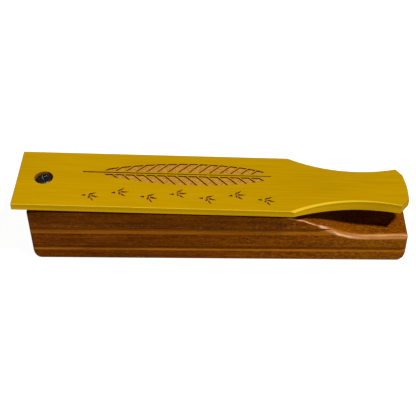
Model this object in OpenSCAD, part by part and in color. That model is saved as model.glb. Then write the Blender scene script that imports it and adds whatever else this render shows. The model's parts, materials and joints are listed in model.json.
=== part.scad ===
// Box turkey call: a sound box routed from one block of wood, a crowned paddle lid
// that scrapes over its rails, and the screw and spring that the lid turns on.
// Millimetres, +Z up. The origin is the middle of the sound box's base, and +X
// points from the pivot end to the handle end.

/* [Sound box] */
// Length of the sound box
box_l = 230; // [226:0.2:236]
// Width of the sound box
box_w = 42.2; // [41:0.2:43]
// Height of the end block beside the pivot
block_h = 39.3; // [38.8:0.1:39.4]
// Height of the rails where the brow starts
rail_end_h = 35.5; // [34.8:0.1:35.7]
// Rise of the rails' arch above a straight line
rail_arch = 0.6; // [0.3:0.05:0.7]
// How far the pivot end's top edge is rounded down
end_drop = 1.3; // [0.6:0.1:1.6]
// Length of that rounded edge
end_relief = 9; // [7:1:10]
// Radius of the upright corner edges
corner_r = 2; // [1:0.5:3]
// Radius of the base's long edges
base_r = 2; // [1:0.5:4]
// Radius of the base's edge at the pivot end
pivot_base_r = 8; // [5:0.5:9]
// Radius of the base's edge at the handle end
handle_base_r = 8.6; // [6:0.2:10]

/* [Sound chamber] */
// Wood left between the pivot end and the chamber
chamber_from = 24; // [22:1:28]
// Length of the chamber
chamber_l = 128; // [110:1:132]
// Thickness of the side walls
wall = 3.4; // [3:0.1:4]
// Thickness of the rails at their top edge
rail_t = 2.2; // [1.8:0.1:2.6]
// Height of the bevel that thins the rails
rail_bevel_h = 8; // [5:1:12]
// Thickness of the chamber's floor
floor_t = 6.5; // [5:0.5:8]
// Radius of the chamber's upright corners
chamber_r = 7; // [4:1:9]
// Radius along the chamber's floor
floor_r = 4; // [2:0.5:5]

/* [Side coves] */
// Radius at the bottom of a cove
cove_r = 1.6; // [1.4:0.1:1.8]
// Depth of the coves
cove_t = 1.2; // [1:0.1:1.4]
// Height of the lower cove's bottom
low_cove_h = 10.5; // [9.8:0.1:11]
// How far below it the lower cove's slope runs out
low_cove_foot = 2.5; // [2.2:0.1:3]
// Height of the upper cove's bottom
high_cove_h = 25.5; // [24.8:0.1:26]
// How far below it the upper cove's slope runs out
high_cove_foot = 3.7; // [3:0.1:4.2]

/* [Saddle] */
// Distance from the pivot end to the top of the ramp
saddle_from = 166.1; // [163.5:0.1:168.5]
// Length of the brow that leads from the rails to the ramp
brow_l = 7.5; // [5:0.5:9]
// How far the brow falls
brow_drop = 1.5; // [1:0.1:2]
// Slope of the ramp down to the finger saddle
ramp_angle = 24.3; // [22:0.1:27]
// Lowest height of the saddle
saddle_h = 21; // [19.5:0.1:22]
// Radius of the bowl at the ramp's foot
bowl_r = 45; // [40:1:50]
// Slope of the saddle's rise to its outer end
rise_angle = 1.5; // [1:0.5:5]
// Radius of the ramp's side edges
ramp_edge_r = 1.2; // [0.8:0.1:1.4]
// Radius of the bowl's side edges
bowl_edge_r = 3.6; // [2:0.1:3.8]
// Radius of the saddle's edge at the handle end
rim_r = 2; // [1.4:0.1:2.4]

/* [Lid] */
// Length of the lid
lid_l = 237.2; // [235:0.2:240]
// Width of the lid
lid_w = 48.9; // [48:0.1:50]
// Thickness at the lid's side edges
lid_edge_t = 4.4; // [4:0.1:4.8]
// Thickness along the crown of the underside
lid_mid_t = 8.1; // [7.6:0.1:8.2]
// Height of the lid's top over the pivot
lid_top_h = 48.6; // [48.6:0.1:49.5]
// Slope of the lid down towards the handle
lid_slope = 1.6; // [1.5:0.05:1.65]
// Distance from the lid's plain end to the pivot
lid_pivot = 16; // [14:0.5:18]
// Distance from the sound box's end to the pivot
box_pivot = 8.9; // [8.4:0.1:10]
// Radius of the lid's top side edges
lid_edge_r = 0.4; // [0.3:0.1:0.8]

/* [Handle] */
// Width of the lid at its waist
waist_w = 27.4; // [26:0.2:29]
// Distance from the lid's plain end to the waist
waist_at = 208.5; // [206:0.5:210]
// Radius of the waist's hollow sides
waist_r = 85.5; // [82:0.5:90]
// Length of each cut corner
tip_cut_l = 5.9; // [4.5:0.1:7]
// Half width left between the cut corners
tip_half_w = 7.8; // [6:0.2:9]
// Half width of the handle where the corners are cut
tip_shoulder = 16.4; // [15.6:0.2:17.6]
// Radius of the eased top edge at the handle's end
tip_r = 56; // [50:1:62]
// Width of the eased edge along the waist
waist_ease = 0.6; // [0.4:0.1:0.8]
// How much wider it is where the waist starts
waist_ease_lead = 1.2; // [0.8:0.2:2]

/* [Engraving] */
// Depth of the engraved feather and tracks
engrave_t = 0.7; // [0.3:0.1:1]
// Length of the feather's vane
vane_l = 96; // [80:2:100]
// Half width of the vane
vane_w = 10; // [7:0.5:11]
// Barbs on each side of the feather
barbs = 15; // [10:1:20]
// Bird tracks in the row below the feather
tracks = 7; // [3:1:8]

/* [Screw and spring] */
// Diameter of the screw's shank and thread
screw_d = 4.8; // [4.6:0.1:5]
// Length of the screw below its head
screw_l = 31.8; // [28:0.2:33]
// Diameter of the screw's head
head_d = 9.9; // [9.6:0.1:10.1]
// Height of the screw's head
head_h = 3.2; // [2.8:0.1:3.4]
// How far the head's crown lies below the lid's top
head_sink = 0.4; // [0.2:0.1:0.8]
// Diameter of the hole that takes the head
counterbore_d = 11.4; // [11:0.1:12]
// Outside diameter of the spring
spring_d = 8; // [7.6:0.1:8.2]
// Diameter of the spring's wire
wire_d = 0.8; // [0.6:0.1:1]
// Turns of the spring
turns = 6; // [5:1:7]
// Diameter of the spring's seat
seat_d = 9; // [8.8:0.1:9.4]
// Depth of the spring's seat
seat_t = 7; // [6:0.5:8]

/* [Hidden] */
$fn = 96;

cut = 1;                          // overlap of a cutter past the face it cuts
full = 1.01;                      // roundings a little full, to meet their faces at an angle
pin_gap = 0.05;                   // running clearance of the screw in the box
lid_gap = 0.4;                    // clearance under the screw's head
spring_gap = 0.1;                 // clearance at each end of the spring
shank_hole_d = screw_d + 1.2;     // loose hole, so that the lid can tip
pivot_x = box_pivot - box_l / 2;
lid_under_h = lid_top_h - lid_mid_t / cos(lid_slope);
head_top_h = lid_top_h - head_sink;
head_under_h = head_top_h - head_h;
counterbore_t = head_sink + head_h + lid_gap;
seat_floor_h = block_h - seat_t;

// The rails' arch, through the block's edge and the top of the ramp
arch_run = saddle_from - brow_l - end_relief;
arch_fall = block_h - rail_end_h;
arch_chord = sqrt(arch_run * arch_run + arch_fall * arch_fall);
arch_r = (arch_chord * arch_chord / 4 + rail_arch * rail_arch) / (2 * rail_arch);
arch_tip = atan2(arch_fall, arch_run);
arch_mid = [end_relief + arch_run / 2, (block_h + rail_end_h) / 2];
arch_back = arch_r - rail_arch;
arch_centre = arch_mid - arch_back * [sin(arch_tip), cos(arch_tip)];
relief_r = (end_relief * end_relief + end_drop * end_drop) / (2 * end_drop);

// The saddle: brow, ramp, a bowl at its foot and a straight rise to the end. The bowl
// meets its neighbours in soft creases, so that their rounded edges cross cleanly.
crease = 3;
brow_from = saddle_from - brow_l;
brow_angle = atan2(brow_drop, brow_l);
ramp_top_h = rail_end_h - brow_drop;
bowl_from_a = ramp_angle + crease;
bowl_to_a = rise_angle + crease;
bowl_from_h = saddle_h + bowl_r * (1 - cos(bowl_from_a));
bowl_to_h = saddle_h + bowl_r * (1 - cos(bowl_to_a));
bowl_from = saddle_from + (ramp_top_h - bowl_from_h) / tan(ramp_angle);
bowl_centre = [bowl_from + bowl_r * sin(bowl_from_a), saddle_h + bowl_r];
bowl_to = bowl_centre[0] + bowl_r * sin(bowl_to_a);
ramp_l = (ramp_top_h - bowl_from_h) / sin(ramp_angle);
rise_l = (box_l - bowl_to) / cos(rise_angle);

// The rounded edge at the handle end, touching the rise and the end face
rim_x = box_l - rim_r;
rim_h = bowl_to_h + (rim_x - bowl_to) * tan(rise_angle) - rim_r / cos(rise_angle);
rim_touch = [rim_x, rim_h] + rim_r * [-sin(rise_angle), cos(rise_angle)];

// The lid's crowned underside, in its own frame: X from the pivot, Z from its top face
crown = lid_mid_t - lid_edge_t;
crown_r = (lid_w * lid_w / 4 + crown * crown) / (2 * crown);
waist_x = waist_at - lid_pivot;
waist_y = waist_w / 2 + waist_r;
tip_x = lid_l - lid_pivot;
tip_lean = 0.46;                  // how fast the eased end widens with depth
tip_set_back = 1.2;               // how far the eased end lies behind the tip, on top

// Feather and tracks
vane_x = 36;                      // where the vane starts, from the pivot
vane_y = 6.5;
barb_pitch = vane_l / barbs;
barb_gap = 1.1;
barb_lean = 0.75;
quill_l = 13;
quill_w = 1.5;
track_y = -13.5;
track_pitch = 17.5;
track_step = 1.7;                 // how far left and right of the line the bird steps
toe_l = 7.5;
toe_w = 1.9;
toe_spread = 38;

// Screw
thread_pitch = 1.95;
thread_root_d = screw_d * 0.7;
thread_l = screw_l * 0.62;
tip_l = 4;
thread_turns = floor((thread_l - tip_l) / thread_pitch);
head_round = 1.5;
slot_w = 1.2;
slot_l = 5;
slot_foot = 1.4;
slot_t = 2.2;

// Spring
wire_sides = 8;
steps_per_turn = 24;
spring_low = seat_floor_h + spring_gap + wire_d / 2;
spring_high = lid_under_h - spring_gap - wire_d / 2;
closed_turns = 1;                 // turns lying flat at each end
open_pitch = (spring_high - spring_low - 2 * closed_turns * wire_d)
    / (turns - 2 * closed_turns);

// ---------------------------------------------------------------- helpers

// The region outside a quarter circle, in the corner at the origin
module corner(r) {
    difference() {
        translate([-cut, -cut]) square(r + cut);
        translate([r, r]) circle(r);
    }
}

// A rectangle from the origin, with its corners rounded
module rounded_rect(l, w, r) {
    difference() {
        square([l, w]);
        corner(r);
        translate([l, 0]) mirror([1, 0]) corner(r);
        translate([0, w]) mirror([0, 1]) corner(r);
        translate([l, w]) rotate(180) corner(r);
    }
}

// Turns an XZ outline, measured from the pivot end, into a solid across the box
module across(w) {
    translate([-box_l / 2, 0, 0]) rotate([90, 0, 0])
        linear_extrude(w, center = true) children();
}

// Turns a YZ outline into a solid along X, starting at x
module along(x, l) {
    translate([x, 0, 0]) rotate([90, 0, 90]) linear_extrude(l) children();
}

// ---------------------------------------------------------------- sound box

// Side view of the wood that the saddle takes away
module saddle_cut() {
    top = block_h + 5;
    polygon([
        [brow_from - (top - rail_end_h) / tan(brow_angle), top],
        [saddle_from, ramp_top_h],
        [bowl_from, bowl_from_h],
        [bowl_to, bowl_to_h],
        [box_l + cut, bowl_to_h + (box_l + cut - bowl_to) * tan(rise_angle)],
        [box_l + cut, top],
    ]);
    intersection() {
        translate(bowl_centre) circle(bowl_r, $fn = 720);
        translate([bowl_from, 0]) square([bowl_to - bowl_from, block_h]);
    }
    difference() {
        polygon([
            [rim_x, rim_h],
            rim_touch,
            rim_touch + [0, rim_r],
            [box_l + cut, rim_touch[1] + rim_r],
            [box_l + cut, rim_h],
        ]);
        translate([rim_x, rim_h]) circle(rim_r * full);
    }
}

// Side view of the sound box
module box_side() {
    difference() {
        intersection() {
            square([box_l, block_h + 1]);
            translate(arch_centre) circle(arch_r, $fn = 7200);
        }
        corner(pivot_base_r);
        translate([box_l, 0]) mirror([1, 0]) corner(handle_base_r);
        difference() {
            translate([-cut, block_h - end_drop - cut])
                square([end_relief + cut, end_drop + 3 * cut]);
            translate([end_relief, block_h - relief_r]) circle(relief_r, $fn = 360);
        }
        saddle_cut();
    }
}

// End view of a cove: a rounded bottom and a straight slope that runs out below it.
// X points into the wood from the side face.
module cove(foot) {
    centre_x = cove_t - cove_r;
    reach = sqrt(centre_x * centre_x + foot * foot);
    touch_a = atan2(-foot, -centre_x) + acos(cove_r / reach);
    touch_r = cove_r / full;
    translate([centre_x, 0]) circle(cove_r);
    polygon([
        [centre_x, 0],
        [centre_x, -foot],
        [0, -foot],
        [centre_x + touch_r * cos(touch_a), touch_r * sin(touch_a)],
    ]);
}

// End view of the sound box: rounded base edges and two coves down each side
module box_end() {
    difference() {
        translate([-box_w / 2, 0]) square([box_w, block_h + 2]);
        for (side = [0, 1]) mirror([side, 0]) translate([-box_w / 2, 0]) {
            corner(base_r);
            translate([0, low_cove_h]) cove(low_cove_foot);
            translate([0, high_cove_h]) cove(high_cove_foot);
        }
    }
}

// End view of the chamber: a flat floor with rounded edges, and rails thinned on top
module chamber_end() {
    half = box_w / 2 - wall;
    thin = wall - rail_t;
    low = rail_end_h - rail_bevel_h;
    high = block_h + 2;
    slope = thin / rail_bevel_h;
    difference() {
        translate([-half, floor_t]) square([2 * half, high - floor_t]);
        translate([-half, floor_t]) corner(floor_r);
        translate([half, floor_t]) mirror([1, 0]) corner(floor_r);
    }
    polygon([
        [-half, low],
        [half, low],
        [half + thin, low + rail_bevel_h],
        [half + thin, high],
        [-half - thin, high],
        [-half - thin, low + rail_bevel_h],
    ]);
}

module chamber() {
    w = box_w - 2 * rail_t;
    intersection() {
        along(chamber_from - box_l / 2, chamber_l) chamber_end();
        translate([chamber_from - box_l / 2, -w / 2, 0])
            linear_extrude(block_h + 2) rounded_rect(chamber_l, w, chamber_r);
    }
}

// Rounds the edge between the saddle and a side face; X points into the wood
module edge_rounding(x, r) {
    difference() {
        translate([x - cut, box_w / 2 - r]) square(r + cut);
        translate([x + r, box_w / 2 - r]) circle(r * full);
    }
}

// A straight rounded edge through a point of the side view, from one distance up its
// slope to another
module straight_edge(point, slope, from, to, r) {
    translate([point[0], point[1], 0]) rotate([0, 0, 270 - slope])
        rotate([90, 0, 0]) translate([0, 0, from]) linear_extrude(to - from)
            edge_rounding(0, r);
}

// A rounded edge round a bend, between two angles from the bend's lowest point
module bent_edge(centre, bend_r, from, to, r) {
    translate([centre[0], centre[1], 0]) rotate([0, 0, 270 + from])
        rotate_extrude(angle = to - from, $fn = 720) edge_rounding(bend_r, r);
}

// The rounded saddle edges of one side, from the brow to the handle end. The bowl's wide
// one runs on past the crease and fades out up the ramp.
module saddle_edge() {
    past = 0.6;
    fade_a = 22;
    brow_out = brow_l / cos(brow_angle) + ramp_edge_r / sin(brow_angle) + cut;
    straight_edge([saddle_from, ramp_top_h], brow_angle, -past, brow_out, ramp_edge_r);
    straight_edge([bowl_from, bowl_from_h], ramp_angle, -past, ramp_l + past, ramp_edge_r);
    bent_edge(bowl_centre, bowl_r, -bowl_from_a - fade_a, bowl_to_a + past, bowl_edge_r);
    straight_edge([bowl_to, bowl_to_h], -rise_angle, -rise_l - cut, past, bowl_edge_r);
}

module sound_box() {
    color("saddlebrown") difference() {
        intersection() {
            across(box_w) box_side();
            along(-box_l / 2, box_l) box_end();
            translate([-box_l / 2, -box_w / 2, 0])
                linear_extrude(block_h + 2) rounded_rect(box_l, box_w, corner_r);
        }
        chamber();
        translate([-box_l / 2, 0, 0]) rotate([90, 0, 0])
            for (side = [0, 1]) mirror([0, 0, side]) saddle_edge();
        translate([pivot_x, 0, seat_floor_h]) cylinder(d = seat_d, h = seat_t + 2);
        translate([pivot_x, 0, head_under_h - screw_l - cut])
            cylinder(d = screw_d + 2 * pin_gap, h = block_h);
    }
}

// ---------------------------------------------------------------- lid

// Plan of the lid, X from the pivot
module lid_plan() {
    slant = tip_cut_l / (tip_shoulder - tip_half_w);
    shoulder_x = tip_x - slant * (lid_w / 2 - tip_half_w);
    difference() {
        polygon([
            [-lid_pivot, -lid_w / 2],
            [shoulder_x, -lid_w / 2],
            [tip_x, -tip_half_w],
            [tip_x, tip_half_w],
            [shoulder_x, lid_w / 2],
            [-lid_pivot, lid_w / 2],
        ]);
        for (side = [-1, 1])
            translate([waist_x, side * waist_y]) circle(waist_r, $fn = 720);
    }
}

// End view of the lid: flat top with eased edges, crowned underside
module lid_end() {
    difference() {
        intersection() {
            translate([-lid_w / 2, -lid_mid_t]) square([lid_w, lid_mid_t]);
            translate([0, crown_r - lid_mid_t]) circle(crown_r, $fn = 720);
        }
        for (side = [0, 1]) mirror([side, 0])
            translate([-lid_w / 2, 0]) mirror([0, 1]) corner(lid_edge_r);
    }
}

// What the eased top end edge of the handle takes away
module tip_easing() {
    difference() {
        translate([tip_x - 12, -lid_w / 2, -lid_mid_t - cut])
            cube([12 + cut, lid_w, lid_mid_t + 2 * cut]);
        translate([tip_x - tip_set_back - tip_r, 0, -lid_mid_t - 2 * cut])
            cylinder(r1 = tip_r + tip_lean * (lid_mid_t + 2 * cut),
                     r2 = tip_r - tip_lean * 2 * cut,
                     h = lid_mid_t + 4 * cut, $fn = 720);
    }
}

// Eases the top edges of the waist, widest where the waist starts
module waist_easing() {
    lead = [-waist_ease_lead, 0, 0];
    depth = 3;
    for (side = [-1, 1])
        translate([waist_x, side * waist_y, -depth] + lead)
            cylinder(r1 = waist_r + waist_ease - depth, r2 = waist_r + waist_ease + cut,
                     h = depth + cut, $fn = 720);
}

function vane(t) = vane_w * pow(sin(180 * (0.05 + 0.9 * t)), 0.55);

module barb(i) {
    root = barb_pitch - barb_gap;
    low = vane(i / barbs);
    high = vane((i + 1 - barb_gap / barb_pitch) / barbs);
    polygon([
        [0, quill_w],
        [root, quill_w],
        [root + barb_lean * high, high],
        [barb_lean * low, low],
    ]);
}

module feather() {
    for (side = [0, 1]) mirror([0, side])
        for (i = [0 : barbs - 1])
            translate([i * barb_pitch, 0]) barb(i);
    polygon([
        [-quill_l, -quill_w / 3],
        [vane_l + 6, -quill_w / 5],
        [vane_l + 6, quill_w / 5],
        [-quill_l, quill_w / 3],
    ]);
}

module toe(l) {
    polygon([
        [0.8, 0],
        [l * 0.35, -toe_w / 2],
        [l, 0],
        [l * 0.35, toe_w / 2],
    ]);
}

module track() {
    toe(toe_l);
    for (side = [-1, 1]) rotate(side * toe_spread) toe(toe_l * 0.85);
    rotate(180) toe(toe_l * 0.5);
}

module engraving() {
    translate([vane_x, vane_y]) feather();
    for (i = [0 : tracks - 1])
        translate([vane_x - 8 + i * track_pitch, track_y + (i % 2 ? 1 : -1) * track_step])
            rotate(i % 2 ? 8 : -8) track();
}

module lid() {
    color("goldenrod") translate([pivot_x, 0, lid_top_h]) rotate([0, lid_slope, 0])
        difference() {
            intersection() {
                translate([0, 0, -lid_mid_t]) linear_extrude(lid_mid_t) lid_plan();
                along(-lid_pivot, lid_l) lid_end();
            }
            tip_easing();
            waist_easing();
            translate([0, 0, -counterbore_t]) cylinder(d = counterbore_d, h = lid_mid_t);
            translate([0, 0, -lid_mid_t - cut]) cylinder(d = shank_hole_d, h = lid_mid_t);
            translate([0, 0, -engrave_t]) linear_extrude(engrave_t + cut) engraving();
        }
}

// ---------------------------------------------------------------- screw and spring

// Half section of the screw, Z from the underside of its head
module screw_section() {
    r = screw_d / 2;
    root = thread_root_d / 2;
    thread_top = -(screw_l - thread_l);
    polygon(concat(
        [[0, 0], [r, 0], [r, thread_top]],
        [for (i = [0 : thread_turns - 1], step = [0, 1])
            [step == 0 ? root : r, thread_top - (i + 0.4 + step * 0.35) * thread_pitch]],
        [[root, tip_l - screw_l], [0, -screw_l]]
    ));
}

module head_section() {
    r = head_d / 2;
    difference() {
        square([r, head_h]);
        translate([r, head_h]) rotate(180) corner(head_round);
    }
}

// One bar of the cross recess: a slot that narrows towards its foot
module recess_bar() {
    rotate([90, 0, 0]) linear_extrude(slot_w, center = true)
        polygon([
            [-slot_l / 2, cut],
            [-slot_l / 2, -0.3],
            [-slot_foot / 2, -slot_t],
            [slot_foot / 2, -slot_t],
            [slot_l / 2, -0.3],
            [slot_l / 2, cut],
        ]);
}

module pivot_screw() {
    color("dimgray") translate([pivot_x, 0, head_under_h]) difference() {
        union() {
            rotate_extrude() screw_section();
            rotate_extrude() head_section();
        }
        translate([0, 0, head_h])
            for (turn = [35, 125]) rotate([0, 0, turn]) recess_bar();
    }
}

// Height of the wire's centre after n turns
function coil_h(n) =
    spring_low + wire_d * min(n, closed_turns)
    + open_pitch * min(max(n - closed_turns, 0), turns - 2 * closed_turns)
    + wire_d * max(n - turns + closed_turns, 0);

function coil_ring(n) = [for (k = [0 : wire_sides - 1])
    let (
        a = 360 * k / wire_sides,
        r = (spring_d - wire_d) / 2 + wire_d / 2 * cos(a)
    )
    [r * cos(360 * n), r * sin(360 * n), coil_h(n) + wire_d / 2 * sin(a)]];

module spring() {
    rings = turns * steps_per_turn;
    points = [for (i = [0 : rings]) each coil_ring(i / steps_per_turn)];
    sides = [for (i = [0 : rings - 1], k = [0 : wire_sides - 1])
        let (a = i * wire_sides, next = (k + 1) % wire_sides)
        [a + k, a + next, a + wire_sides + next, a + wire_sides + k]];
    start = [for (k = [wire_sides - 1 : -1 : 0]) k];
    finish = [for (k = [0 : wire_sides - 1]) rings * wire_sides + k];
    color("silver") translate([pivot_x, 0, 0])
        polyhedron(points, concat([start], sides, [finish]));
}

sound_box();
lid();
pivot_screw();
spring();
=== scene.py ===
"""Looks of a box turkey call: an oiled hardwood sound box, a dyed paddle lid with a burnt-in
feather and bird tracks, a black pivot screw and the spring that the lid rides on.

Everything is in metres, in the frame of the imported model: +X from the pivot end to the
handle end, +Z up, and the origin in the middle of the sound box's base.
"""

import json
import math

import bpy
from mathutils import Matrix, Vector


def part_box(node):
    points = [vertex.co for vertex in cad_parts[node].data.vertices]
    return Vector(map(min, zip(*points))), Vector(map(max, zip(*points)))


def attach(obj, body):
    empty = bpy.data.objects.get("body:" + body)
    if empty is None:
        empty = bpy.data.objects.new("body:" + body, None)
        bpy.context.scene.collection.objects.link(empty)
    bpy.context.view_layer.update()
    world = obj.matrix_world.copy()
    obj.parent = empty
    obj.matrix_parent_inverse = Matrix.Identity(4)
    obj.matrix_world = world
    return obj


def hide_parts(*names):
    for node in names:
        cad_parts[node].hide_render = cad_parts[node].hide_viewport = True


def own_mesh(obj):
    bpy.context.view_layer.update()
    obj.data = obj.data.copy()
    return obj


MM = 0.001

# Camera: where it looks, from how far, and how it is turned
TARGET = Vector((-6.65, 0, 24.3)) * MM
DISTANCE = 577 * MM
ELEVATION = math.radians(42.66)
YAW = math.radians(-1.99)
ROLL = math.radians(-0.975)
LENS = 80.3
SENSOR_WIDTH = 36

# Light: a small key light high on the handle's side, pale paper that glows and a dim room.
# Azimuth 0 is the camera's side and 90 is +X.
KEY_AZIMUTH = math.radians(64)
KEY_ELEVATION = math.radians(63)
KEY_DISTANCE = 2.4
KEY_SIZE = 0.26
KEY_POWER = 72
FLOOR_HALF = 4
FLOOR_GREY = 0.25
FLOOR_GLOW = 0.97
ROOM_LIGHT = 0.035

# Lid: its slope down towards the handle, the engraving's ends, measured from the pivot, and
# its half width, and a radius just over the counterbore's
LID_SLOPE = math.radians(1.6)
ENGRAVED_FROM = 18 * MM
ENGRAVED_TO = 146 * MM
ENGRAVED_HALF_WIDTH = 22 * MM
COUNTERBORE_RADIUS = 5.8 * MM

# Sound box: the saddle's ramp, its height carried back to the middle, the bowl's height, and
# the height of the upper cove's bottom
RAMP_SLOPE = 0.4515
RAMP_AT_MIDDLE = 57.1 * MM
SADDLE_HEIGHT = 21 * MM
UPPER_COVE = 25.5 * MM

# Growth rings: where their axis crosses the plane across the wood (Y, Z), and their spacing
BOX_PITH = (-34 * MM, 96 * MM)
BOX_RING = 5.5 * MM
LID_PITH = (6 * MM, -58 * MM)
LID_RING = 2.6 * MM

# Wood colours
BOX_DARK = (0.090, 0.0180, 0.0001)
BOX_MIDDLE = (0.150, 0.0340, 0.0002)
BOX_LIGHT = (0.225, 0.0620, 0.0006)
LID_OLIVE = (0.420, 0.230, 0.0002)
LID_YELLOW = (0.470, 0.260, 0.0002)
LID_GOLD = (0.510, 0.278, 0.0004)

# Spring
SPRING_TURNS = 6
WIRE_RADIUS = 0.4 * MM
WIRE_STEPS = 40
WIRE_SIDES = 12


# ---------------------------------------------------------------- camera, floor and lights

def make_camera():
    camera = bpy.data.objects.new("camera", bpy.data.cameras.new("camera"))
    bpy.context.scene.collection.objects.link(camera)
    bpy.context.scene.camera = camera
    forward = Vector((
        math.sin(YAW) * math.cos(ELEVATION),
        math.cos(YAW) * math.cos(ELEVATION),
        -math.sin(ELEVATION),
    ))
    level = Vector((math.cos(YAW), -math.sin(YAW), 0))
    right = Matrix.Rotation(-ROLL, 3, forward) @ level
    up = right.cross(forward)
    camera.matrix_world = Matrix.Translation(TARGET - forward * DISTANCE) @ Matrix(
        (right, up, -forward)).transposed().to_4x4()
    camera.data.lens = LENS
    camera.data.sensor_width = SENSOR_WIDTH
    camera.data.clip_start = 0.01
    camera.data.clip_end = 20


def make_floor():
    mesh = bpy.data.meshes.new("floor")
    h = FLOOR_HALF
    mesh.from_pydata([(-h, -h, 0), (h, -h, 0), (h, h, 0), (-h, h, 0)], [], [(0, 1, 2, 3)])
    floor = bpy.data.objects.new("floor", mesh)
    bpy.context.scene.collection.objects.link(floor)
    tree = Tree("floor_paper")
    tree.put("Base Color", (FLOOR_GREY, FLOOR_GREY, FLOOR_GREY))
    tree.put("Roughness", 0.9)
    tree.put("Specular IOR Level", 0.05)
    tree.put("Emission Color", (1, 1, 1))
    tree.put("Emission Strength", FLOOR_GLOW)
    mesh.materials.append(tree.material)


def make_key_light():
    """A square area light aimed at the object."""
    light = bpy.data.lights.new("key", "AREA")
    light.shape = "SQUARE"
    light.size = KEY_SIZE
    light.energy = KEY_POWER
    holder = bpy.data.objects.new("key", light)
    bpy.context.scene.collection.objects.link(holder)
    away = Vector((
        math.sin(KEY_AZIMUTH) * math.cos(KEY_ELEVATION),
        -math.cos(KEY_AZIMUTH) * math.cos(KEY_ELEVATION),
        math.sin(KEY_ELEVATION),
    ))
    holder.location = TARGET + away * KEY_DISTANCE
    holder.rotation_mode = "QUATERNION"
    holder.rotation_quaternion = away.to_track_quat("Z", "Y")


def make_world():
    world = bpy.data.worlds.new("studio")
    world.use_nodes = True
    background = world.node_tree.nodes["Background"]
    background.inputs["Color"].default_value = (1, 1, 1, 1)
    background.inputs["Strength"].default_value = ROOM_LIGHT
    bpy.context.scene.world = world


# ---------------------------------------------------------------- material building

class Tree:
    """Short forms for building a material's nodes."""

    def __init__(self, name):
        self.material = bpy.data.materials.new(name)
        self.material.use_nodes = True
        self.nodes = self.material.node_tree.nodes
        self.links = self.material.node_tree.links
        self.shader = self.nodes["Principled BSDF"]

    def put(self, name, value):
        """Sets an input of the shader, to a plain value or to another node's output."""
        self.fill(self.shader.inputs[name], value)

    def fill(self, socket, value):
        """Sets or links an input. A plain colour is given as red, green and blue."""
        if isinstance(value, bpy.types.NodeSocket):
            self.links.new(value, socket)
        elif value is not None:
            socket.default_value = (*value, 1) if socket.type == "RGBA" else value

    def node(self, kind, inputs, **settings):
        made = self.nodes.new("ShaderNode" + kind)
        for key, value in settings.items():
            setattr(made, key, value)
        for key, value in inputs.items():
            self.fill(made.inputs[key], value)
        return made

    # Numbers

    def math(self, operation, a, b=None, c=None):
        return self.node("Math", {0: a, 1: b, 2: c}, operation=operation).outputs[0]

    def size(self, value):
        return self.math("ABSOLUTE", value)

    def gap(self, a, b):
        """How far apart two values are."""
        return self.size(self.math("SUBTRACT", a, b))

    def product(self, *factors):
        made = factors[0]
        for factor in factors[1:]:
            made = self.math("MULTIPLY", made, factor)
        return made

    def span(self, value, low, high, to_low=0.0, to_high=1.0):
        """Value from low to high, mapped smoothly onto to_low to to_high."""
        made = self.node(
            "MapRange", {0: value, 1: low, 2: high, 3: to_low, 4: to_high},
            interpolation_type="SMOOTHSTEP")
        return made.outputs[0]

    # Colours

    def mix(self, share, a, b, blend="MIX"):
        made = self.node("Mix", {0: share, 6: a, 7: b}, data_type="RGBA", blend_type=blend)
        return made.outputs[2]

    def tint(self, colour, target, *shares):
        """Colour, moved towards target by the product of the shares, at most all the way."""
        return self.mix(self.product(*shares), colour, target)

    def scale(self, colour, brightness):
        return self.mix(1.0, colour, brightness, blend="MULTIPLY")

    # Places and directions

    def parts(self, vector):
        return self.node("SeparateXYZ", {0: vector}).outputs

    def object_coords(self):
        return self.node("TexCoord", {}).outputs["Object"]

    def facing(self):
        """The parts of the surface's own direction."""
        return self.parts(self.node("TexCoord", {}).outputs["Normal"])

    def eased(self, radius, samples):
        """The surface's direction, as if its edges were rounded."""
        return self.node("Bevel", {"Radius": radius}, samples=samples).outputs[0]

    def across_grain(self):
        """1 on end grain, where the surface faces along X, and 0 on side grain."""
        return self.span(self.size(self.facing()[0]), 0.35, 0.95)

    def lips(self, facing):
        """1 on edges and hollows rounded to face up and sideways, and 0 on flat faces."""
        return self.span(self.product(self.size(facing[1]), facing[2]), 0.14, 0.42)

    # Patterns

    def noise(self, coords, along, across, detail=3.0, roughness=0.55):
        """Noise that is long along X. along and across are its sizes in millimetres."""
        scale = (1 / (along * MM), 1 / (across * MM), 1 / (across * MM))
        place = self.node("Mapping", {"Vector": coords, "Scale": scale}).outputs[0]
        made = self.node("TexNoise", {
            "Vector": place, "Scale": 1.0, "Detail": detail, "Roughness": roughness})
        return made.outputs[0]

    def rings(self, coords, pith, spacing, wander):
        """Growth rings about an axis along X: a saw tooth from 0 to 1 across each ring."""
        _, y, z = self.parts(coords)
        drift = self.product(self.math("SUBTRACT", wander, 0.5), 4 * spacing)
        dy = self.math("SUBTRACT", y, pith[0])
        dz = self.math("SUBTRACT", z, pith[1])
        radius = self.math(
            "SQRT", self.math("ADD", self.product(dy, dy), self.product(dz, dz)))
        return self.math("FRACT", self.math("DIVIDE", self.math("ADD", radius, drift), spacing))

    def bump(self, height, depth, radius=0.0):
        """Bump of the given depth in metres, over edges eased by a radius."""
        normal = self.eased(radius, 6) if radius else None
        made = self.node("Bump", {
            "Height": height, "Distance": depth, "Strength": 1.0, "Normal": normal})
        self.put("Normal", made.outputs[0])


# ---------------------------------------------------------------- the sound box's wood

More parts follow.
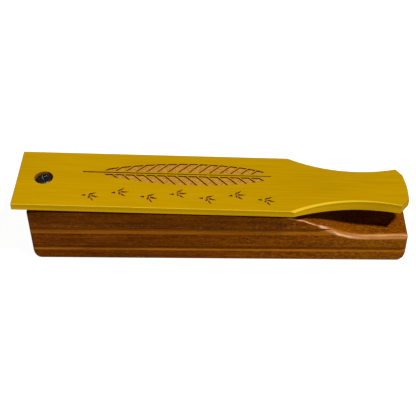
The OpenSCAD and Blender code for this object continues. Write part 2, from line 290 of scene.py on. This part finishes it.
def box_grain(tree, coords, streaks, fine):
    """Streaks and patches, growth lines, dark grain lines and fine pale ones."""
    x = tree.parts(coords)[0]
    wander = tree.noise(coords, 110, 14, detail=2)
    ring = tree.rings(coords, BOX_PITH, BOX_RING, wander)
    late = tree.product(tree.span(ring, 0.55, 0.93), tree.span(ring, 1.0, 0.95))
    patches = tree.noise(coords, 60, 9, detail=2)
    grain = tree.noise(coords, 22, 0.8, detail=3, roughness=0.65)

    colour = tree.tint(BOX_DARK, BOX_MIDDLE, tree.span(streaks, 0.36, 0.66))
    colour = tree.tint(colour, BOX_LIGHT, tree.span(patches, 0.42, 0.75, 0, 0.6))
    # Painted light: the whole box paler towards the handle, the side the key light comes from
    colour = tree.tint(colour, BOX_LIGHT, tree.span(x, -90 * MM, 110 * MM, 0, 0.4))
    colour = tree.tint(colour, BOX_DARK, late, 0.35)
    colour = tree.tint(colour, (0.060, 0.0115, 0.0001), tree.span(grain, 0.51, 0.66, 0, 0.62))
    return tree.tint(colour, BOX_LIGHT, tree.span(fine, 0.52, 0.75, 0, 0.55))


def box_painted_light_on_sides(tree, colour, coords, facing):
    """Painted light on the sides: paler near the handle, and less so close to the base."""
    x, _, z = tree.parts(coords)
    sideways = tree.span(tree.size(facing[1]), 0.3, 0.8)
    near_handle = tree.span(x, 45 * MM, 105 * MM, 0, 0.5)
    off_base = tree.span(z, 4 * MM, 12 * MM, 0.55, 1.0)
    return tree.tint(colour, (0.29, 0.097, 0.002), sideways, near_handle, off_base)


def box_flecks(tree, colour, coords):
    """Light and dark flecks in the figure, stronger towards the handle."""
    x = tree.parts(coords)[0]
    mottle = tree.noise(coords, 1.7, 0.8, detail=4, roughness=0.65)
    figured = tree.span(x, -40 * MM, 90 * MM, 0.35, 1.0)
    colour = tree.tint(colour, (0.31, 0.100, 0.002), tree.span(mottle, 0.53, 0.66), figured)
    return tree.tint(colour, (0.070, 0.0130, 0.0001), tree.span(mottle, 0.46, 0.34), figured)


def box_dust_and_glints(tree, colour, coords):
    """Pale specks on the side, in and just above the upper cove: dusty pores, with painted
    glints of the finish in them.
    """
    z = tree.parts(coords)[2]
    dust_and_glints = tree.noise(coords, 0.9, 0.35, detail=1)
    band = tree.product(
        tree.span(z, UPPER_COVE, UPPER_COVE + 1.5 * MM),
        tree.span(z, UPPER_COVE + 5.5 * MM, UPPER_COVE + 3 * MM))
    return tree.tint(colour, (0.42, 0.26, 0.15), band, tree.span(dust_and_glints, 0.64, 0.72), 0.5)


def box_painted_light_on_lips(tree, colour, coords, facing, streaks):
    """Painted light on the rounded edges and the coves' lower lips, which face up and sideways
    towards the key light: paler, more so on the upper half.
    """
    z = tree.parts(coords)[2]
    along = tree.span(streaks, 0.30, 0.65, 0.55, 1.1)
    higher = tree.span(z, 13 * MM, 20 * MM, 0.5, 0.8)
    return tree.tint(colour, (0.40, 0.130, 0.008), tree.lips(facing), along, higher)


def box_glints(tree, colour, coords, facing):
    """Pale lines along the saddle's rounded edges. The low one runs down the ramp and fades in
    the bowl, where the high one starts, and both wander with the scuffs."""
    x, _, z = tree.parts(coords)
    scuffs = tree.noise(coords, 8, 0.55, detail=4, roughness=0.65)
    tilt = tree.math("MULTIPLY_ADD", scuffs, 0.3, tree.math("SUBTRACT", facing[2], 0.15))
    low_line = tree.product(tree.span(tree.gap(tilt, 0.50), 0.28, 0.02),
                            tree.span(x, 76 * MM, 94 * MM, 1.0, 0.25))
    high_line = tree.product(tree.span(tree.gap(tilt, 0.80), 0.15, 0.02),
                             tree.span(x, 74 * MM, 92 * MM, 0, 0.6))
    lines = tree.math("MAXIMUM", low_line, high_line)
    rounded = tree.span(tree.size(facing[1]), 0.12, 0.3)
    broken = tree.span(scuffs, 0.36, 0.56, 0.45, 1.0)
    ramp = tree.math("MULTIPLY_ADD", x, -RAMP_SLOPE, RAMP_AT_MIDDLE)
    above = tree.math("SUBTRACT", z, tree.math("MAXIMUM", ramp, SADDLE_HEIGHT))
    at_edge = tree.span(above, -3.6 * MM, -2.2 * MM)
    return tree.tint(colour, (0.72, 0.42, 0.24), lines, rounded, broken, at_edge, 0.9)


def box_painted_shade_under_coves(tree, colour, coords, facing):
    """Painted shade under the coves' roofs, which face down: dark in the lower cove and faint in
    the upper.
    """
    z = tree.parts(coords)[2]
    under = tree.span(facing[2], -0.15, -0.5)
    lower = tree.span(z, 16 * MM, 12 * MM, 0.2, 0.7)
    off_base = tree.span(z, 7 * MM, 9 * MM)
    return tree.tint(colour, (0.05, 0.010, 0.0002), under, lower, off_base)


def make_box_wood():
    """Oiled reddish-brown hardwood: dark growth lines, long streaks and fine open pores."""
    tree = Tree("box_wood_oiled")
    coords = tree.object_coords()
    facing = tree.facing()
    end = tree.across_grain()
    streaks = tree.noise(coords, 45, 1.3, detail=4, roughness=0.6)
    fine = tree.noise(coords, 9, 0.32, detail=2, roughness=0.6)
    pores = tree.noise(coords, 3.2, 0.2, detail=1, roughness=0.5)
    open_pore = tree.span(pores, 0.60, 0.68)

    colour = box_grain(tree, coords, streaks, fine)
    colour = box_painted_light_on_sides(tree, colour, coords, facing)
    colour = box_flecks(tree, colour, coords)
    colour = tree.tint(colour, (0.03, 0.006, 0), open_pore, 0.6)
    colour = box_dust_and_glints(tree, colour, coords)
    colour = box_painted_light_on_lips(tree, colour, coords, facing, streaks)
    colour = box_glints(tree, colour, coords, facing)
    colour = box_painted_shade_under_coves(tree, colour, coords, facing)
    colour = tree.tint(colour, (0.075, 0.014, 0.0004), end, 0.75)

    tree.put("Base Color", colour)
    rough = tree.span(fine, 0.3, 0.7, 0.27, 0.38)
    tree.put("Roughness", tree.math("ADD", rough, tree.product(end, 0.5)))
    tree.put("Specular IOR Level", 0.008)
    tree.put("Specular Tint", (1.0, 0.75, 0.45))
    relief = tree.math("SUBTRACT", tree.product(fine, 0.5), open_pore)
    tree.bump(relief, 0.06 * MM, 0.35 * MM)
    return tree.material


# ---------------------------------------------------------------- the lid's wood

def lid_coords(tree, pivot, top_z):
    """Coordinates on the lid: X along it from the pivot, and Z up from its sloping top."""
    return tree.node(
        "Mapping",
        {"Vector": tree.object_coords(), "Location": (pivot.x, 0, top_z),
         "Rotation": (0, LID_SLOPE, 0)},
        vector_type="TEXTURE").outputs[0]


def lid_dye(tree, coords, streaks, fine, late):
    """The dyed grain, a little darker towards the handle and towards the far edge."""
    x, y, _ = tree.parts(coords)
    patches = tree.noise(coords, 70, 12, detail=2)
    colour = tree.tint(LID_OLIVE, LID_YELLOW, tree.span(streaks, 0.36, 0.62))
    colour = tree.tint(colour, LID_GOLD, tree.span(patches, 0.4, 0.75, 0, 0.4))
    colour = tree.tint(colour, LID_OLIVE, late, 0.22)
    colour = tree.tint(colour, LID_GOLD, tree.span(fine, 0.62, 0.8, 0, 0.3))
    colour = tree.scale(colour, tree.span(x, 10 * MM, 200 * MM, 1.03, 0.90))
    return tree.scale(colour, tree.span(y, -24 * MM, 4 * MM, 1.05, 1.0))


def lid_sides_painted_light(tree, colour, x, depth, facing):
    """The side walls, with painted light: brighter, most of all at the handle's end; and painted
    shade, a darker olive near the top.
    """
    side = tree.span(tree.size(facing[1]), 0.75, 0.95)
    colour = tree.scale(colour, tree.span(side, 0, 1, 1.0, 1.13))
    at_handle = tree.scale(colour, tree.span(x, 196 * MM, 220 * MM, 1.0, 1.22))
    colour = tree.tint(colour, at_handle, side)
    # Painted shade: darker olive on the top part of each side wall
    painted_shade_near_top = tree.span(depth, 2.9 * MM, 2.3 * MM)
    return tree.tint(colour, (0.350, 0.215, 0.0002), side, painted_shade_near_top, 0.6)


def lid_edge_highlights(tree, colour, x, off_centre, facing):
    """Painted highlights on the rounded edges, where they catch the key light. Sharper ones
    count too, away from the engraving.
    """
    away = tree.math(
        "MAXIMUM",
        tree.span(off_centre, ENGRAVED_HALF_WIDTH + 0.2 * MM, ENGRAVED_HALF_WIDTH + 0.8 * MM),
        tree.span(x, ENGRAVED_TO + 4 * MM, ENGRAVED_TO + 8 * MM))
    sharp = tree.product(tree.lips(tree.parts(tree.eased(0.5 * MM, 8))), away)
    edges = tree.math("MAXIMUM", tree.lips(facing), sharp)
    return tree.tint(colour, (0.72, 0.46, 0.02), edges, 0.75)


def lid_underside(tree, streaks, late):
    """Bare brown wood."""
    colour = tree.tint((0.30, 0.18, 0.075), (0.42, 0.28, 0.14), tree.span(streaks, 0.36, 0.62))
    return tree.tint(colour, (0.25, 0.13, 0.05), late, 0.45)


def lid_engraved(tree, x, off_centre, depth):
    """1 on the engraving's floor and walls, and 0 on the rest of the lid."""
    lengthwise = tree.product(tree.span(x, ENGRAVED_FROM, ENGRAVED_FROM + MM),
                              tree.span(x, ENGRAVED_TO + MM, ENGRAVED_TO))
    crosswise = tree.span(off_centre, ENGRAVED_HALF_WIDTH, ENGRAVED_HALF_WIDTH - MM)
    below_top = tree.span(depth, 0.02 * MM, 0.12 * MM)
    above_underside = tree.span(depth, 2.0 * MM, 1.5 * MM)
    return tree.product(lengthwise, crosswise, below_top, above_underside)


def lid_scorched(tree, depth, scorch):
    """The engraving's wood: a scored tan floor, burnt brown in its corners and on its walls."""
    tan = tree.tint((0.36, 0.145, 0.018), (0.52, 0.255, 0.048), tree.span(scorch, 0.35, 0.65))
    open_share = tree.node("AmbientOcclusion", {"Distance": 0.9 * MM}, samples=8,
                           only_local=True).outputs["AO"]
    corner = tree.span(open_share, 0.86, 0.62)
    wall = tree.span(depth, 0.62 * MM, 0.5 * MM)
    return tree.tint(tan, (0.115, 0.026, 0.001), tree.math("MAXIMUM", corner, wall))


def lid_bore(tree, colour, x, y, depth):
    """The counterbore's wall: dark bare wood, with painted light on its half towards the handle,
    which faces away from the key light.
    """
    from_pivot = tree.math("SQRT", tree.math("ADD", tree.product(x, x), tree.product(y, y)))
    in_bore = tree.span(from_pivot, COUNTERBORE_RADIUS + 0.1 * MM, COUNTERBORE_RADIUS)
    below_top = tree.span(depth, 0.1 * MM, 0.4 * MM)
    bore_wall_with_painted_light = tree.tint((0.27, 0.105, 0.003), (0.80, 0.44, 0.06), tree.span(x, -2 * MM, 4.5 * MM))
    return tree.tint(colour, bore_wall_with_painted_light, in_bore, below_top)


def make_lid_wood(pivot, top_z):
    """Close-grained wood dyed yellow, bare on its underside, with a burnt engraving."""
    tree = Tree("lid_wood_dyed")
    coords = lid_coords(tree, pivot, top_z)
    x, y, z = tree.parts(coords)
    depth = tree.product(z, -1.0)
    off_centre = tree.size(y)
    facing = tree.facing()
    end = tree.across_grain()
    streaks = tree.noise(coords, 38, 1.1, detail=4, roughness=0.6)
    fine = tree.noise(coords, 7, 0.3, detail=2)
    scorch = tree.noise(coords, 1.6, 0.9, detail=3)
    wander = tree.noise(coords, 90, 16, detail=2)
    ring = tree.rings(coords, LID_PITH, LID_RING, wander)
    late = tree.product(tree.span(ring, 0.5, 0.9), tree.span(ring, 1.0, 0.93))

    colour = lid_dye(tree, coords, streaks, fine, late)
    colour = lid_sides_painted_light(tree, colour, x, depth, facing)
    colour = tree.tint(colour, (0.330, 0.175, 0.0002), end, 0.7)
    colour = lid_edge_highlights(tree, colour, x, off_centre, facing)
    bare = lid_underside(tree, streaks, late)
    colour = tree.tint(colour, bare, tree.span(facing[2], -0.80, -0.93))
    engraved = lid_engraved(tree, x, off_centre, depth)
    colour = tree.tint(colour, lid_scorched(tree, depth, scorch), engraved)
    colour = lid_bore(tree, colour, x, y, depth)

    tree.put("Base Color", colour)
    rough = tree.span(fine, 0.3, 0.7, 0.38, 0.50)
    tree.put("Roughness", tree.math("ADD", rough, tree.product(end, 0.4)))
    tree.put("Specular IOR Level", 0.012)
    scored = tree.product(scorch, engraved, 2.0)
    tree.bump(tree.math("ADD", tree.product(fine, 0.6), scored), 0.03 * MM, 0.3 * MM)
    return tree.material


# ---------------------------------------------------------------- steel

def make_black_steel():
    """Black oxide on steel, rubbed brighter on its edges and scuffed by the driver."""
    tree = Tree("black_oxide_steel")
    coords = tree.object_coords()
    mottle = tree.noise(coords, 0.9, 0.9, detail=4)
    scuffs = tree.noise(coords, 2.6, 0.22, detail=3)
    true_normal = tree.node("NewGeometry", {}).outputs["Normal"]
    flatness = tree.node(
        "VectorMath", {0: tree.eased(0.25 * MM, 6), 1: true_normal},
        operation="DOT_PRODUCT").outputs["Value"]
    edge = tree.span(flatness, 0.97, 0.85)
    worn = tree.span(mottle, 0.4, 0.62)
    colour = tree.tint((0.014, 0.012, 0.011), (0.060, 0.050, 0.040), tree.span(mottle, 0.3, 0.7))
    colour = tree.tint(colour, (0.30, 0.27, 0.24), edge, worn, 0.75)
    tree.put("Base Color", colour)
    tree.put("Metallic", 0.75)
    tree.put("Roughness", tree.span(scuffs, 0.35, 0.65, 0.28, 0.5))
    tree.bump(tree.math("ADD", mottle, scuffs), 0.02 * MM, 0.25 * MM)
    return tree.material


def make_spring_steel():
    """Bright zinc on drawn wire, with draw marks round it and a slight haze."""
    tree = Tree("zinc_spring_wire")
    coords = tree.object_coords()
    haze = tree.noise(coords, 1.4, 1.4, detail=3)
    marks = tree.noise(coords, 0.5, 0.12, detail=2)
    colour = tree.tint((0.42, 0.43, 0.45), (0.66, 0.66, 0.66), tree.span(haze, 0.3, 0.7))
    tree.put("Base Color", colour)
    tree.put("Metallic", 1.0)
    tree.put("Roughness", tree.span(marks, 0.3, 0.7, 0.25, 0.42))
    tree.bump(marks, 0.01 * MM)
    return tree.material


# ---------------------------------------------------------------- pieces

def make_coil(low, high):
    """The spring as a round wire, wound from the seat up, with a closed turn at each end."""
    centre = (low + high) / 2
    radius = (high.x - low.x) / 2 - WIRE_RADIUS
    first = low.z + WIRE_RADIUS
    last = high.z - WIRE_RADIUS
    flat = 2 * WIRE_RADIUS
    open_turns = SPRING_TURNS - 2
    open_pitch = (last - first - 2 * flat) / open_turns

    def height(turn):
        opened = min(max(turn - 1, 0), open_turns)
        return (first + flat * min(turn, 1) + open_pitch * opened
                + flat * max(turn - SPRING_TURNS + 1, 0))

    steps = SPRING_TURNS * WIRE_STEPS
    points = []
    for i in range(steps + 1):
        turn = i / WIRE_STEPS
        a = math.tau * turn
        for k in range(WIRE_SIDES):
            b = math.tau * k / WIRE_SIDES
            r = radius + WIRE_RADIUS * math.cos(b)
            z = height(turn) + WIRE_RADIUS * math.sin(b)
            points.append((centre.x + r * math.cos(a), centre.y + r * math.sin(a), z))
    faces = []
    for i in range(steps):
        a = i * WIRE_SIDES
        for k in range(WIRE_SIDES):
            n = (k + 1) % WIRE_SIDES
            faces.append((a + k, a + n, a + WIRE_SIDES + n, a + WIRE_SIDES + k))
    faces.append(tuple(reversed(range(WIRE_SIDES))))
    faces.append(tuple(steps * WIRE_SIDES + k for k in range(WIRE_SIDES)))
    mesh = bpy.data.meshes.new("spring_wire")
    mesh.from_pydata(points, [], faces)
    mesh.shade_smooth()
    wire = bpy.data.objects.new("spring_wire", mesh)
    bpy.context.scene.collection.objects.link(wire)
    return wire


def finish_with(node, material):
    slots = frame["nodes"][node].data.materials
    for i in range(len(slots)):
        slots[i] = material


def joint(name):
    return next(j for j in frame["joints"] if j["name"] == name)


make_camera()
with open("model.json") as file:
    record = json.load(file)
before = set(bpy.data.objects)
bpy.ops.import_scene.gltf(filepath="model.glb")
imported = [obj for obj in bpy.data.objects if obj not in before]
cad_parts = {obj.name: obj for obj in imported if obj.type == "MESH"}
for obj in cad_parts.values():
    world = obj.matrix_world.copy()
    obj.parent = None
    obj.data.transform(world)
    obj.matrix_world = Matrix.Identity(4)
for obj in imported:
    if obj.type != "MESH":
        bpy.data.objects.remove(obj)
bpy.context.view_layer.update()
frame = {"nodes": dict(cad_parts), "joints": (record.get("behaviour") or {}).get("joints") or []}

pivot = Vector(joint("lid_tip")["pos_m"])
lid_low, lid_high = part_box("lid")
lid_top_z = lid_high.z - (pivot.x - lid_low.x) * math.sin(LID_SLOPE)

finish_with("sound_box", make_box_wood())
finish_with("lid", make_lid_wood(pivot, lid_top_z))
finish_with("pivot_screw", make_black_steel())

spring_low, spring_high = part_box("spring")
coil = make_coil(spring_low, spring_high)
coil.data.materials.append(make_spring_steel())
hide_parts("spring")
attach(coil, "spring")
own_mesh(coil)

make_floor()
make_key_light()
make_world()
bpy.context.scene.view_settings.view_transform = "Standard"
